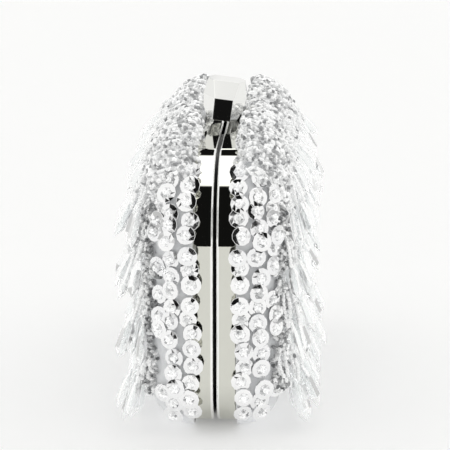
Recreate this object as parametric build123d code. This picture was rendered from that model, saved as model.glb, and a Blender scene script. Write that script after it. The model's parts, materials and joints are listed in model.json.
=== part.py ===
"""A hard-case evening bag: two half shells hinged along the bottom, with a faceted clasp on top.

X runs along the bag, Y through it (the front half is on the -Y side) and Z up. The origin is on
the surface the bag stands on, under the middle of the bag. All sizes are in millimetres.
"""

import math
import os

from build123d import *

# The covered bag, without its beads and fringe.
BAG_LENGTH = 170.0
BAG_HEIGHT = 100.0
HALF_DEPTH = 23.0
TOP_CORNER_RADIUS = 31.0
BOTTOM_CORNER_RADIUS = 18.0
FACE_EDGE_RADIUS = 14.0

# Each layer of a half: how far its outside and inside lie in from the cover's outside.
COVER_INSIDE = 0.8
SHELL_OUTSIDE = 1.0
SHELL_INSIDE = 2.4
LINING_OUTSIDE = 4.0
LINING_INSIDE = 4.7
COVER_EDGE_Y = 7.6
SHELL_EDGE_Y = 7.7
SHELL_FACE_Y = 22.0
BACK_LINING_EDGE_Y = 5.3
FRONT_LINING_EDGE_Y = 2.6
LINING_FACE_Y = 20.2

# The metal frame of each half. Its lip reaches into the shell.
FRAME_OUTSIDE = 1.6
FRAME_LIP_OUTSIDE = 2.6
FRAME_INSIDE = 3.8
FRAME_PARTING_Y = 0.5
FRAME_BACK_Y = 7.4
FRAME_LIP_Y = 11.0
FRAME_EDGE_RADIUS = 0.8

# The strip on the back frame that the front frame closes over.
CLOSING_LIP_OUTSIDE = 3.85
CLOSING_LIP_INSIDE = 4.45
CLOSING_LIP_REACH = 2.0
CLOSING_LIP_ROOT_Y = 5.0
CLOSING_LIP_BOTTOM_Z = 17.0
CLOSING_LIP_LATCH_GAP = 28.0

# The slip pocket inside the back half.
POCKET_WIDTH = 96.0
POCKET_HEIGHT = 42.0
POCKET_BOTTOM_Z = 16.0
POCKET_THICKNESS = 0.9
POCKET_CLEARANCE = 0.3

# The hinge, whose pin lies level with the frames' underside.
HINGE_LENGTH = 50.0
KNUCKLE_COUNT = 5
KNUCKLE_RADIUS = 1.5
KNUCKLE_GAP = 0.3
HINGE_PIN_RADIUS = 0.7
HINGE_PIN_OVERHANG = 0.4
RUNNING_CLEARANCE = 0.05
LEAF_THICKNESS = 0.8
LEAF_NEAR_Y = 0.7
LEAF_FAR_Y = 7.0
KNUCKLE_WEB_NEAR_Y = 0.4
KNUCKLE_WEB_FAR_Y = 2.0
HINGE_NOTCH_LENGTH = 52.0
HINGE_NOTCH_Y = 2.3
HINGE_LINING_GAP = (53.0, 8.2, 9.0)
HINGE_Z = FRAME_OUTSIDE

# Rivets: each has a flat head and a shank that ends inside the frame.
RIVET_SHANK_RADIUS = 0.7
RIVET_HEAD_RADIUS = 1.3
RIVET_HEAD_HEIGHT = 0.6
RIVET_DEPTH_IN_FRAME = 1.2
HINGE_RIVET_SPACING = 18.0
HINGE_RIVET_Y = 4.9

# The clasp: a faceted knob on a sprung stem, which carries the hook.
CLASP_TRAVEL = 1.8
STEM_Y = 3.3
STEM_RADIUS = 1.1
STEM_DEPTH_IN_KNOB = 3.0
STEM_END_Z = 80.2
STEM_SHOULDER_RADIUS = 1.9
STEM_SHOULDER_THICKNESS = 0.9
STEM_SHOULDER_TOP_Z = 96.1
KNOB_BASE_Z = 101.0
KNOB_Y = -1.0
KNOB_LEAN = 7.0

# The knob's level outlines from its base up: height above the base, half length at the narrow
# end, half width of that end, and half width at the middle.
KNOB_LEVELS = (
    (0.0, 12.6, 3.4, 5.6),
    (3.4, 12.35, 3.44, 7.6),
    (8.0, 12.0, 3.5, 8.2),
    (14.0, 6.0, 4.9, 7.0),
)
KNOB_END_SLANT = 0.5

HOUSING_LENGTH = 12.0
HOUSING_NEAR_Y = 0.7
HOUSING_FAR_Y = 5.9
HOUSING_BOTTOM_Z = 85.0
HOUSING_FLOOR = 1.5
HOUSING_BORE_RADIUS = 2.0
HOUSING_FLANGE_LENGTH = 26.0
HOUSING_FLANGE_FAR_Y = 6.9
HOUSING_FLANGE_THICKNESS = 1.0
HOUSING_RIVET_SPACING = 20.0
HOUSING_RIVET_Y = 3.9

SPRING_WIRE_RADIUS = 0.25
SPRING_RADIUS = 1.6
SPRING_PITCH = 1.4
SPRING_END_GAP = 0.35

HOOK_WIDTH = 4.8
HOOK_THICKNESS = 1.6
HOOK_BOTTOM_Z = 80.6
HOOK_BACK_Y = 5.0
HOOK_NOSE_Y = -6.0
HOOK_NOSE_THICKNESS = 1.0
HOOK_NOSE_TOP_Z = 85.0

STRIKE_WIDTH = 12.0
STRIKE_THICKNESS = 0.8
STRIKE_NEAR_Y = 3.8
STRIKE_BOTTOM_Z = 75.8
STRIKE_WINDOW_WIDTH = 6.2
STRIKE_WINDOW_BOTTOM_Z = 77.6
STRIKE_WINDOW_TOP_Z = 85.35
STRIKE_FLANGE_FAR_Y = 7.2
STRIKE_FLANGE_THICKNESS = 1.0
STRIKE_RIVET_SPACING = 8.0
STRIKE_RIVET_Y = 6.0

LATCH_LINING_GAP = (27.0, 8.3, 12.0)

# Sequins on the end panels, in columns across each half and rows up from the bottom corner.
SEQUIN_RADIUS = 3.0
SEQUIN_THICKNESS = 0.4
SEQUIN_LIFT = 0.35
SEQUIN_COLUMNS = (10.9, 17.3)
SEQUIN_ROWS = 12
SEQUIN_PITCH = 6.5
SEQUIN_START_ANGLE = 40.0
SEQUIN_BEAD_RADIUS = 1.4

# The thick layer of bead loops over the shoulders, and the strips of it down the corners.
BEAD_LAYER_LIFT = 0.3
BEAD_LAYER_TOP = 3.2
SHOULDER_BEADS_BOTTOM_Z = 84.0
SHOULDER_BEADS_EDGE_Y = 8.8
SHOULDER_FACE_BOTTOM_Z = 93.5
SHOULDER_FACE_HALF_WIDTH = 64.5
CORNER_BEADS_TOP = 2.6
CORNER_BEADS_FROM_Y = 20.4
CORNER_BEADS_FROM_X = 77.0
CORNER_BEADS_BOTTOM_Z = 9.0
CORNER_BEADS_TOP_Z = 83.5

# The fringe: one tier draped over the shoulder, then tiers hanging one above the other.
SHOULDER_TIER_HALF_WIDTH = 52.0
SHOULDER_TIER_LEAN = 45.0
SHOULDER_TIER_STRAND = 8.0
SHOULDER_TIER_THICKNESS = 3.0
SHOULDER_DROP_LENGTH = 14.0
FACE_TIER_HALF_WIDTHS = (63.0, 74.0, 75.0, 75.0)
FACE_TIER_TOP_Z = 91.0
FACE_TIER_PITCH = 19.0
FACE_TIER_LEAN = 18.0
FACE_TIER_STRAND = 16.0
FACE_TIER_THICKNESS = 4.5
FACE_DROP_LENGTH = 15.7
FRINGE_CLEARANCE = 0.3
DROP_WIDTH = 7.0
DROP_THICKNESS = 4.4
SHOULDER_DROP_THICKNESS = 3.0
DROP_PITCH = 8.0
DROP_SIDES = 6
DROP_WIDEST = 0.62


def span_box(x_range, y_range, z_range):
    """A box given by its low and high side along each axis."""
    low, high = zip(x_range, y_range, z_range)
    size = [b - a for a, b in zip(low, high)]
    middle = [(a + b) / 2 for a, b in zip(low, high)]
    return Pos(*middle) * Box(*size)


def centred(length):
    """The range of a length that is centred on zero."""
    return (-length / 2, length / 2)


def upright_cylinder(radius, x, y, z_range):
    """A vertical cylinder between two heights."""
    low, high = z_range
    return Pos(x, y, (low + high) / 2) * Cylinder(radius, high - low)


def front_of(shape):
    """The same shape on the front half."""
    return mirror(shape, about=Plane.XZ)


def both_ends(shapes):
    """Shapes at the right-hand end, with their mirror images at the left-hand end."""
    return shapes + [mirror(shape, about=Plane.YZ) for shape in shapes]


def group(shapes):
    """Separate solids that make one node."""
    return Compound(children=[solid for shape in shapes for solid in shape.solids()])


# ---- The layers of a half ----


def outline(inset):
    """The bag's front outline, drawn in from the cover's outside, as a face on the XY plane."""
    width = BAG_LENGTH - 2 * inset
    height = BAG_HEIGHT - 2 * inset
    face = Pos(0, BAG_HEIGHT / 2) * Rectangle(width, height)
    face = fillet(face.vertices().group_by(Axis.Y)[0], BOTTOM_CORNER_RADIUS - inset)
    return fillet(face.vertices().group_by(Axis.Y)[-1], TOP_CORNER_RADIUS - inset)


def raised(face, near_y, far_y):
    """A face drawn as the front outline, made solid between two distances behind the parting."""
    flat = Plane((0, near_y, 0), x_dir=(1, 0, 0), z_dir=(0, -1, 0)) * face
    return extrude(flat, amount=far_y - near_y, dir=(0, 1, 0))


def half_block(inset, edge_y, face_y):
    """The bag's back half as a solid block, with the edge round its outer face rounded."""
    block = raised(outline(inset), edge_y, face_y)
    face_edges = block.faces().sort_by(Axis.Y)[-1].edges()
    return fillet(face_edges, FACE_EDGE_RADIUS - inset)


def tray(outside, inside, edge_y, face_y):
    """A hollow half, open towards the parting, between two insets."""
    hollow = half_block(inside, edge_y - 1, face_y - (inside - outside))
    return half_block(outside, edge_y, face_y) - hollow


def cover():
    return tray(0, COVER_INSIDE, COVER_EDGE_Y, HALF_DEPTH)


def shell():
    return tray(SHELL_OUTSIDE, SHELL_INSIDE, SHELL_EDGE_Y, SHELL_FACE_Y)


def lining(edge_y):
    """A lining tray, cut away round the hinge and the latch."""
    hinge_length, hinge_y, hinge_z = HINGE_LINING_GAP
    latch_length, latch_y, latch_depth = LATCH_LINING_GAP
    hinge_gap = span_box(centred(hinge_length), (0, hinge_y), (0, hinge_z))
    latch_z = (BAG_HEIGHT - latch_depth, BAG_HEIGHT)
    latch_gap = span_box(centred(latch_length), (0, latch_y), latch_z)
    return tray(LINING_OUTSIDE, LINING_INSIDE, edge_y, LINING_FACE_Y) - hinge_gap - latch_gap


def pocket():
    """The slip pocket's panel against the back lining."""
    far_y = LINING_FACE_Y - (LINING_INSIDE - LINING_OUTSIDE) - POCKET_CLEARANCE
    return span_box(
        centred(POCKET_WIDTH),
        (far_y - POCKET_THICKNESS, far_y),
        (POCKET_BOTTOM_Z, POCKET_BOTTOM_Z + POCKET_HEIGHT),
    )


def plain_frame():
    """A half's metal frame with its lip and rounded parting edge, notched for the hinge."""
    band = raised(outline(FRAME_OUTSIDE) - outline(FRAME_INSIDE), FRAME_PARTING_Y, FRAME_BACK_Y)
    parting_face = band.faces().sort_by(Axis.Y)[0]
    band = fillet(parting_face.outer_wire().edges(), FRAME_EDGE_RADIUS)
    lip = raised(outline(FRAME_LIP_OUTSIDE) - outline(FRAME_INSIDE), FRAME_BACK_Y, FRAME_LIP_Y)
    notch = span_box(centred(HINGE_NOTCH_LENGTH), (0, HINGE_NOTCH_Y), (0, FRAME_INSIDE + 0.1))
    return band + lip - notch - rivet_holes(hinge_rivet_places(), FRAME_INSIDE, 1)


def back_frame():
    """The back frame, with holes for the clasp's stem and the housing's rivets."""
    top = BAG_HEIGHT - FRAME_INSIDE
    hole = upright_cylinder(STEM_RADIUS + RUNNING_CLEARANCE, 0, STEM_Y, (top - 1, BAG_HEIGHT))
    return plain_frame() - hole - rivet_holes(housing_rivet_places(), top, -1)


def front_frame():
    """The front frame, with holes for the strike's rivets."""
    top = BAG_HEIGHT - FRAME_INSIDE
    return front_of(plain_frame() - rivet_holes(strike_rivet_places(), top, -1))


def closing_lip():
    """The strip that steps past the parting along the sides and top, either side of the latch."""
    strip = raised(
        outline(CLOSING_LIP_OUTSIDE) - outline(CLOSING_LIP_INSIDE),
        -CLOSING_LIP_REACH,
        CLOSING_LIP_ROOT_Y,
    )
    depth = (-HALF_DEPTH, HALF_DEPTH)
    below = span_box(centred(BAG_LENGTH), depth, (0, CLOSING_LIP_BOTTOM_Z))
    latch_z = (BAG_HEIGHT / 2, BAG_HEIGHT)
    at_latch = span_box(centred(CLOSING_LIP_LATCH_GAP), depth, latch_z)
    return group([strip - below - at_latch])


# ---- Rivets ----


def hinge_rivet_places():
    return [(i * HINGE_RIVET_SPACING, HINGE_RIVET_Y) for i in (-1, 0, 1)]


def housing_rivet_places():
    return [(i * HOUSING_RIVET_SPACING / 2, HOUSING_RIVET_Y) for i in (-1, 1)]


def strike_rivet_places():
    return [(i * STRIKE_RIVET_SPACING / 2, STRIKE_RIVET_Y) for i in (-1, 1)]


def rivet_holes(places, frame_z, up):
    """Holes that take rivet shanks, each side of the frame's inner surface at frame_z.

    up is 1 where the frame lies below the riveted plate and -1 where it lies above it.
    """
    ends = sorted((frame_z - up * (RIVET_DEPTH_IN_FRAME + 0.1), frame_z + up * 2))
    radius = RIVET_SHANK_RADIUS + RUNNING_CLEARANCE
    return Compound(children=[upright_cylinder(radius, x, y, ends) for x, y in places])


def rivets(places, frame_z, plate_thickness, up):
    """Rivets through a plate of the given thickness into the frame."""
    plate_z = frame_z + up * plate_thickness
    shank = sorted((frame_z - up * RIVET_DEPTH_IN_FRAME, plate_z))
    head = sorted((plate_z, plate_z + up * RIVET_HEAD_HEIGHT))
    return group(
        [
            upright_cylinder(RIVET_SHANK_RADIUS, x, y, shank)
            + upright_cylinder(RIVET_HEAD_RADIUS, x, y, head)
            for x, y in places
        ]
    )


# ---- Hinge ----


def hinge_leaf(first_knuckle):
    """A leaf on the back frame's floor, with every second knuckle from first_knuckle on."""
    leaf_z = (FRAME_INSIDE, FRAME_INSIDE + LEAF_THICKNESS)
    leaf = span_box(centred(HINGE_LENGTH), (LEAF_NEAR_Y, LEAF_FAR_Y), leaf_z)
    pitch = HINGE_LENGTH / KNUCKLE_COUNT
    along_x = Pos(0, 0, HINGE_Z) * Rot(0, 90, 0)
    for i in range(first_knuckle, KNUCKLE_COUNT, 2):
        x = (i + 0.5) * pitch - HINGE_LENGTH / 2
        length = pitch - KNUCKLE_GAP
        barrel = Pos(x, 0, 0) * along_x * Cylinder(KNUCKLE_RADIUS, length)
        web = span_box(
            (x - length / 2, x + length / 2),
            (KNUCKLE_WEB_NEAR_Y, KNUCKLE_WEB_FAR_Y),
            (HINGE_Z, FRAME_INSIDE + LEAF_THICKNESS),
        )
        leaf = leaf + barrel + web
    bore = along_x * Cylinder(HINGE_PIN_RADIUS + RUNNING_CLEARANCE, 2 * HINGE_LENGTH)
    return leaf - bore - rivet_holes(hinge_rivet_places(), FRAME_INSIDE, 1)


def hinge_pin():
    length = HINGE_LENGTH + 2 * HINGE_PIN_OVERHANG
    return Pos(0, 0, HINGE_Z) * Rot(0, 90, 0) * Cylinder(HINGE_PIN_RADIUS, length)


def hinge_rivets():
    return rivets(hinge_rivet_places(), FRAME_INSIDE, LEAF_THICKNESS, 1)


# ---- Clasp and latch ----


def knob_outline(half_length, end_half_width, middle_half_width):
    """One level outline of the knob: eight corners, with every slanted side at the same angle."""
    slant_length = (middle_half_width - end_half_width) / KNOB_END_SLANT
    quarter = [
        (half_length, end_half_width),
        (half_length - slant_length, middle_half_width),
    ]
    upper = quarter + [(-x, y) for x, y in reversed(quarter)]
    lower = [(-x, -y) for x, y in upper]
    return make_face(Polyline(*upper, *lower, close=True))


def clasp_knob():
    """The faceted block: narrow at its base, widest half way up, with a small flat top."""
    levels = [Pos(0, 0, z) * knob_outline(*sizes) for z, *sizes in KNOB_LEVELS]
    parts = [loft([low, high], ruled=True) for low, high in zip(levels, levels[1:])]
    lean = Pos(0, KNOB_Y, KNOB_BASE_Z) * Rot(-KNOB_LEAN, 0, 0)
    block = lean * (parts[0] + parts[1] + parts[2])
    socket = (KNOB_BASE_Z - 2, KNOB_BASE_Z + STEM_DEPTH_IN_KNOB)
    return block - upright_cylinder(STEM_RADIUS, 0, STEM_Y, socket)


def clasp_stem():
    """The stem from inside the knob down to the hook, with the shoulder the spring pushes on."""
    rod = upright_cylinder(STEM_RADIUS, 0, STEM_Y, (STEM_END_Z, KNOB_BASE_Z + STEM_DEPTH_IN_KNOB))
    shoulder_z = (STEM_SHOULDER_TOP_Z - STEM_SHOULDER_THICKNESS, STEM_SHOULDER_TOP_Z)
    return rod + upright_cylinder(STEM_SHOULDER_RADIUS, 0, STEM_Y, shoulder_z)


def latch_housing():
    """The riveted block under the back frame's top, bored for the stem and its spring."""
    frame_z = BAG_HEIGHT - FRAME_INSIDE
    body = span_box(
        centred(HOUSING_LENGTH), (HOUSING_NEAR_Y, HOUSING_FAR_Y), (HOUSING_BOTTOM_Z, frame_z)
    )
    flange = span_box(
        centred(HOUSING_FLANGE_LENGTH),
        (HOUSING_NEAR_Y, HOUSING_FLANGE_FAR_Y),
        (frame_z - HOUSING_FLANGE_THICKNESS, frame_z),
    )
    bore_z = (HOUSING_BOTTOM_Z + HOUSING_FLOOR, BAG_HEIGHT)
    bore = upright_cylinder(HOUSING_BORE_RADIUS, 0, STEM_Y, bore_z)
    guide = upright_cylinder(STEM_RADIUS + RUNNING_CLEARANCE, 0, STEM_Y, (0, BAG_HEIGHT))
    return body + flange - bore - guide - rivet_holes(housing_rivet_places(), frame_z, -1)


def housing_rivets():
    frame_z = BAG_HEIGHT - FRAME_INSIDE
    return rivets(housing_rivet_places(), frame_z, HOUSING_FLANGE_THICKNESS, -1)


def latch_spring():
    """The coil spring between the housing's floor and the stem's shoulder."""
    bottom = HOUSING_BOTTOM_Z + HOUSING_FLOOR + SPRING_END_GAP
    top = STEM_SHOULDER_TOP_Z - STEM_SHOULDER_THICKNESS - SPRING_END_GAP
    path = Helix(SPRING_PITCH, top - bottom, SPRING_RADIUS)
    start = Plane(path @ 0, z_dir=path % 0)
    coil = sweep(start * Circle(SPRING_WIRE_RADIUS), path=path)
    return Pos(0, STEM_Y, bottom) * coil


def latch_hook():
    """The arm on the stem that reaches through the strike and turns up behind it."""
    arm_z = (HOOK_BOTTOM_Z, HOOK_BOTTOM_Z + HOOK_THICKNESS)
    arm = span_box(centred(HOOK_WIDTH), (HOOK_NOSE_Y, HOOK_BACK_Y), arm_z)
    nose = span_box(
        centred(HOOK_WIDTH),
        (HOOK_NOSE_Y, HOOK_NOSE_Y + HOOK_NOSE_THICKNESS),
        (HOOK_BOTTOM_Z, HOOK_NOSE_TOP_Z),
    )
    return arm + nose - upright_cylinder(STEM_RADIUS, 0, STEM_Y, (0, BAG_HEIGHT))


def strike_plate():
    """The bracket under the front frame's top, with the window the hook passes through."""
    frame_z = BAG_HEIGHT - FRAME_INSIDE
    plate_y = (STRIKE_NEAR_Y, STRIKE_NEAR_Y + STRIKE_THICKNESS)
    plate = span_box(centred(STRIKE_WIDTH), plate_y, (STRIKE_BOTTOM_Z, frame_z))
    flange = span_box(
        centred(STRIKE_WIDTH),
        (STRIKE_NEAR_Y, STRIKE_FLANGE_FAR_Y),
        (frame_z - STRIKE_FLANGE_THICKNESS, frame_z),
    )
    window_z = (STRIKE_WINDOW_BOTTOM_Z, STRIKE_WINDOW_TOP_Z)
    window = span_box(centred(STRIKE_WINDOW_WIDTH), (0, HALF_DEPTH), window_z)
    holes = rivet_holes(strike_rivet_places(), frame_z, -1)
    return front_of(plate + flange - window - holes)


def strike_rivets():
    frame_z = BAG_HEIGHT - FRAME_INSIDE
    return front_of(rivets(strike_rivet_places(), frame_z, STRIKE_FLANGE_THICKNESS, -1))


# ---- Sequins and beads on the cover ----


def end_outline_point(run):
    """A place on the right-hand end's outline, and the way it faces, as (x, z, angle above level).

    run is the distance up along the outline from the start angle in the bottom corner.
    """
    half_length = BAG_LENGTH / 2
    start = math.radians(SEQUIN_START_ANGLE)
    straight = BAG_HEIGHT - TOP_CORNER_RADIUS - BOTTOM_CORNER_RADIUS
    bottom_arc = start * BOTTOM_CORNER_RADIUS
    if run < bottom_arc:
        radius = BOTTOM_CORNER_RADIUS
        angle = run / radius - start
        centre_z = radius
    elif run < bottom_arc + straight:
        return half_length, BOTTOM_CORNER_RADIUS + run - bottom_arc, 0.0
    else:
        radius = TOP_CORNER_RADIUS
        angle = (run - bottom_arc - straight) / radius
        centre_z = BAG_HEIGHT - radius
    x = half_length - radius + radius * math.cos(angle)
    return x, centre_z + radius * math.sin(angle), angle


def on_end(run, across, lift):
    """The placing of a piece on the right-hand end: run up it, across it from the parting."""
    x, z, angle = end_outline_point(run)
    flat_y = HALF_DEPTH - FACE_EDGE_RADIUS
    turn = max(across - flat_y, 0) / FACE_EDGE_RADIUS
    y = min(across, flat_y) + FACE_EDGE_RADIUS * math.sin(turn)
    inset = FACE_EDGE_RADIUS * (1 - math.cos(turn))
    outward = Vector(math.cos(angle), 0, math.sin(angle))
    normal = outward * math.cos(turn) + Vector(0, math.sin(turn), 0)
    place = Vector(x, y, z) - outward * inset + normal * lift
    return Plane(place, z_dir=normal).location


def on_end_grid(shape, lift):
    """A copy of the shape at every sequin's place on both ends of the back half."""
    places = [
        on_end(row * SEQUIN_PITCH, across, lift)
        for across in SEQUIN_COLUMNS
        for row in range(SEQUIN_ROWS)
    ]
    return group(both_ends([place * shape for place in places]))


def sequins():
    disc = Cylinder(SEQUIN_RADIUS, SEQUIN_THICKNESS)
    return on_end_grid(disc, SEQUIN_LIFT + SEQUIN_THICKNESS / 2)


def sequin_beads():
    lift = SEQUIN_LIFT + SEQUIN_THICKNESS + SEQUIN_BEAD_RADIUS + RUNNING_CLEARANCE
    return on_end_grid(Sphere(SEQUIN_BEAD_RADIUS), lift)


def bead_layer(thickness, edge_y):
    """A layer of even thickness lying just clear of the back cover."""
    return half_block(-thickness, edge_y, HALF_DEPTH + thickness) - half_block(
        -BEAD_LAYER_LIFT, edge_y - 1, HALF_DEPTH + BEAD_LAYER_LIFT
    )


def shoulder_beads():
    """The bead loops over the top and upper corners, ending above the first hanging tier."""
    high = BAG_HEIGHT + 2 * BEAD_LAYER_TOP
    over = centred(2 * BAG_LENGTH)
    keep = span_box(over, (0, 2 * HALF_DEPTH), (SHOULDER_BEADS_BOTTOM_Z, high))
    tier_gap = span_box(
        centred(2 * SHOULDER_FACE_HALF_WIDTH),
        (HALF_DEPTH - BEAD_LAYER_LIFT, 2 * HALF_DEPTH),
        (0, SHOULDER_FACE_BOTTOM_Z),
    )
    return bead_layer(BEAD_LAYER_TOP, SHOULDER_BEADS_EDGE_Y) & keep - tier_gap


def corner_beads():
    """The strips of bead loops down the rounded corners between each end and the face."""
    keep = span_box(
        (CORNER_BEADS_FROM_X, BAG_LENGTH),
        (CORNER_BEADS_FROM_Y, 2 * HALF_DEPTH),
        (CORNER_BEADS_BOTTOM_Z, CORNER_BEADS_TOP_Z),
    )
    return group(both_ends([bead_layer(CORNER_BEADS_TOP, SHOULDER_BEADS_EDGE_Y) & keep]))


# ---- Fringe ----


def fringe_tiers():
    """Every tier of the back half from the top down: its sewn line (y, z), lean and sizes."""
    shoulder_radius = FACE_EDGE_RADIUS + BEAD_LAYER_TOP + FRINGE_CLEARANCE
    lean = math.radians(SHOULDER_TIER_LEAN)
    shoulder = {
        "y": HALF_DEPTH - FACE_EDGE_RADIUS + shoulder_radius * math.cos(lean),
        "z": BAG_HEIGHT - FACE_EDGE_RADIUS + shoulder_radius * math.sin(lean),
        "lean": SHOULDER_TIER_LEAN,
        "half_width": SHOULDER_TIER_HALF_WIDTH,
        "strand": SHOULDER_TIER_STRAND,
        "thickness": SHOULDER_TIER_THICKNESS,
        "drop": SHOULDER_DROP_LENGTH,
        "drop_thickness": SHOULDER_DROP_THICKNESS,
    }
    tiers = [shoulder]
    for i, half_width in enumerate(FACE_TIER_HALF_WIDTHS):
        tiers.append(
            {
                "y": HALF_DEPTH + FRINGE_CLEARANCE,
                "z": FACE_TIER_TOP_Z - i * FACE_TIER_PITCH,
                "lean": FACE_TIER_LEAN,
                "half_width": half_width,
                "strand": FACE_TIER_STRAND,
                "thickness": FACE_TIER_THICKNESS,
                "drop": FACE_DROP_LENGTH,
                "drop_thickness": DROP_THICKNESS,
            }
        )
    return tiers


def hung(shape, tier):
    """Hangs a shape, made straight down from the origin, from a tier's sewn line."""
    return Pos(0, tier["y"], tier["z"]) * Rot(tier["lean"], 0, 0) * shape


def strands(tier):
    """A tier's bead strands, as one slab."""
    x_range = centred(2 * tier["half_width"])
    return hung(span_box(x_range, (0, tier["thickness"]), (-tier["strand"], 0)), tier)


def drop(length, thickness):
    """A faceted drop, pointed at both ends and widest below its middle."""
    widest_z = -DROP_WIDEST * length
    turns = [2 * math.pi * i / DROP_SIDES for i in range(DROP_SIDES)]
    ring = [
        (DROP_WIDTH / 2 * math.cos(a), thickness / 2 * math.sin(a), widest_z) for a in turns
    ]
    return ConvexPolyhedron([(0, 0, 0), (0, 0, -length)] + ring)


def drops(tier):
    """The row of drops under a tier's strands."""
    one = drop(tier["drop"], tier["drop_thickness"])
    count = int(2 * tier["half_width"] // DROP_PITCH)
    top_z = -tier["strand"] - FRINGE_CLEARANCE
    xs = [(i - (count - 1) / 2) * DROP_PITCH for i in range(count)]
    return group([hung(Pos(x, tier["thickness"] / 2, top_z) * one, tier) for x in xs])


def all_nodes():
    """Every sub-part by its node name."""
    nodes = {
        "back_frame": back_frame(),
        "front_frame": front_frame(),
        "closing_lip": closing_lip(),
        "back_shell": shell(),
        "back_cover": cover(),
        "back_lining": lining(BACK_LINING_EDGE_Y),
        "front_lining": front_of(lining(FRONT_LINING_EDGE_Y)),
        "back_pocket": pocket(),
        "hinge_leaf_back": hinge_leaf(0),
        "hinge_leaf_front": front_of(hinge_leaf(1)),
        "hinge_pin": hinge_pin(),
        "hinge_rivets_back": hinge_rivets(),
        "latch_housing": latch_housing(),
        "housing_rivets": housing_rivets(),
        "clasp_knob": clasp_knob(),
        "clasp_stem": clasp_stem(),
        "latch_hook": latch_hook(),
        "latch_spring": latch_spring(),
        "strike_plate": strike_plate(),
        "strike_rivets": strike_rivets(),
        "back_sequins": sequins(),
        "back_sequin_beads": sequin_beads(),
        "back_shoulder_beads": shoulder_beads(),
        "back_corner_beads": corner_beads(),
    }
    for i, tier in enumerate(fringe_tiers(), start=1):
        nodes[f"back_fringe_{i}"] = strands(tier)
        nodes[f"back_drops_{i}"] = drops(tier)
    mirrored = [
        name
        for name in nodes
        if name.startswith("back_") and name not in ("back_frame", "back_lining", "back_pocket")
    ]
    for name in mirrored:
        nodes[name.replace("back_", "front_", 1)] = front_of(nodes[name])
    nodes["hinge_rivets_front"] = front_of(nodes["hinge_rivets_back"])
    return nodes


os.makedirs("parts", exist_ok=True)
for node_name, node_shape in all_nodes().items():
    export_step(node_shape, f"parts/{node_name}.step")
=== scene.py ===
"""Looks of a hard-case evening bag: chrome frames and clasp, satin, sequins, bead loops, fringe.

Lengths are in metres: X along the bag, +Y towards its back half, Z up.
"""

import json
import math

import bpy
import numpy as np
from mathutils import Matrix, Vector


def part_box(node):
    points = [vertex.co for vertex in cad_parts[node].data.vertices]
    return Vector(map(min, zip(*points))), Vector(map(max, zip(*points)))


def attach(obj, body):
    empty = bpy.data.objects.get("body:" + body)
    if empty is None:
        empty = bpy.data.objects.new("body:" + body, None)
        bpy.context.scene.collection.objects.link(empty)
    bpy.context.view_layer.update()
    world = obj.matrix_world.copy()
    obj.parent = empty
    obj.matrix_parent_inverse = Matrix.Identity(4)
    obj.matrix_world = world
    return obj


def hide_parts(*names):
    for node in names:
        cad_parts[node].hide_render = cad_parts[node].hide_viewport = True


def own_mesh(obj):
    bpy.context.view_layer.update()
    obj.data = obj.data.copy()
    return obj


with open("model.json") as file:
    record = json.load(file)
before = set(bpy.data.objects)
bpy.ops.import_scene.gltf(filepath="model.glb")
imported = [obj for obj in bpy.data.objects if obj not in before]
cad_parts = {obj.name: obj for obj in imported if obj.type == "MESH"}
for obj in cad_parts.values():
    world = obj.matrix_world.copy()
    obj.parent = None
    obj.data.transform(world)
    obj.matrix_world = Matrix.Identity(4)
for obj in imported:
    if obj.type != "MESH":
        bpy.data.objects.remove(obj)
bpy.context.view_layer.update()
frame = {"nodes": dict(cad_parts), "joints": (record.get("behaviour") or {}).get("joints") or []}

random = np.random.default_rng(11)

SIDES = {"back": 1, "front": -1}

# The covered bag's rounding. Its other sizes come from the CAD cover's box.
TOP_CORNER_RADIUS = 0.031
BOTTOM_CORNER_RADIUS = 0.018
FACE_EDGE_RADIUS = 0.014
COVER_LOW, COVER_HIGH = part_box("back_cover")
HALF_LENGTH = COVER_HIGH.x
BAG_HEIGHT = COVER_HIGH.z
HALF_DEPTH = COVER_HIGH.y
COVER_EDGE_Y = COVER_LOW.y

# The satin's turned-in edge, as (distance from the edge, depth below the surface) pairs, where
# its surface proper starts, how many rows of points each part of a half has, and the share of the
# face that its innermost ring spans.
TURNED_EDGE = ((0.0004, 0.0009), (0.0, 0.0006), (0.0001, 0.0001))
EDGE_ROUNDING = 0.0005
OUTLINE_STEPS = 320
SIDE_ROWS = 6
ROUNDING_ROWS = 8
FACE_ROWS = 13
SMALLEST_FACE_RING = 0.08

# How far the lining and pocket stand off what is behind them, and how far the pocket's mouth bows.
LINING_SLACK = 0.0004
POCKET_SLACK = 0.0002
POCKET_BOW = 0.0016
POCKET_COLUMNS = 40
POCKET_ROWS = 20

# A painted highlight brightens the plating beside the parting up to the first of these distances
# from it, and leaves it plain from the second. The frames' and clasp's edges look rounded by the
# bevel.
PAINTED_EDGE_HIGHLIGHT = (0.0013, 0.0017)
POLISHED_BEVEL = 0.00025

# One sequin's rings, as shares of its radius: how wide and how high. The first two are the cup's.
SEQUIN_RINGS = ((0.40, 0.02), (0.60, 0.17), (0.96, 0.12), (1.0, 0.09))
CUP_RINGS = 2
SEQUIN_SIDES = 12
SEQUIN_RADIUS = 0.0037
SEQUIN_WIDTHS = (0.90, 1.02)

# Each column of sequins: its distance from the parting at its top and bottom, the share of its
# places that are filled, how high it starts, and how many degrees round the bottom corner it ends.
SEQUIN_COLUMNS = {
    "back": ((0.0080, 0.0106), (0.0148, 0.0166), (0.0212, 0.0226)),
    "front": ((0.0094, 0.0078), (0.0158, 0.0136), (0.0206, 0.0190)),
}
SEQUIN_KEPT = (1.0, 1.0, 0.7)
SEQUIN_TOPS = (0.0925, 0.0930, 0.0890)
SEQUIN_BOTTOM_TURNS = (50.0, 48.0, 40.0)
SEQUIN_PITCH = 0.0058
SEQUIN_JITTER_ALONG = 0.0011
SEQUIN_JITTER_ACROSS = 0.0009

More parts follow.
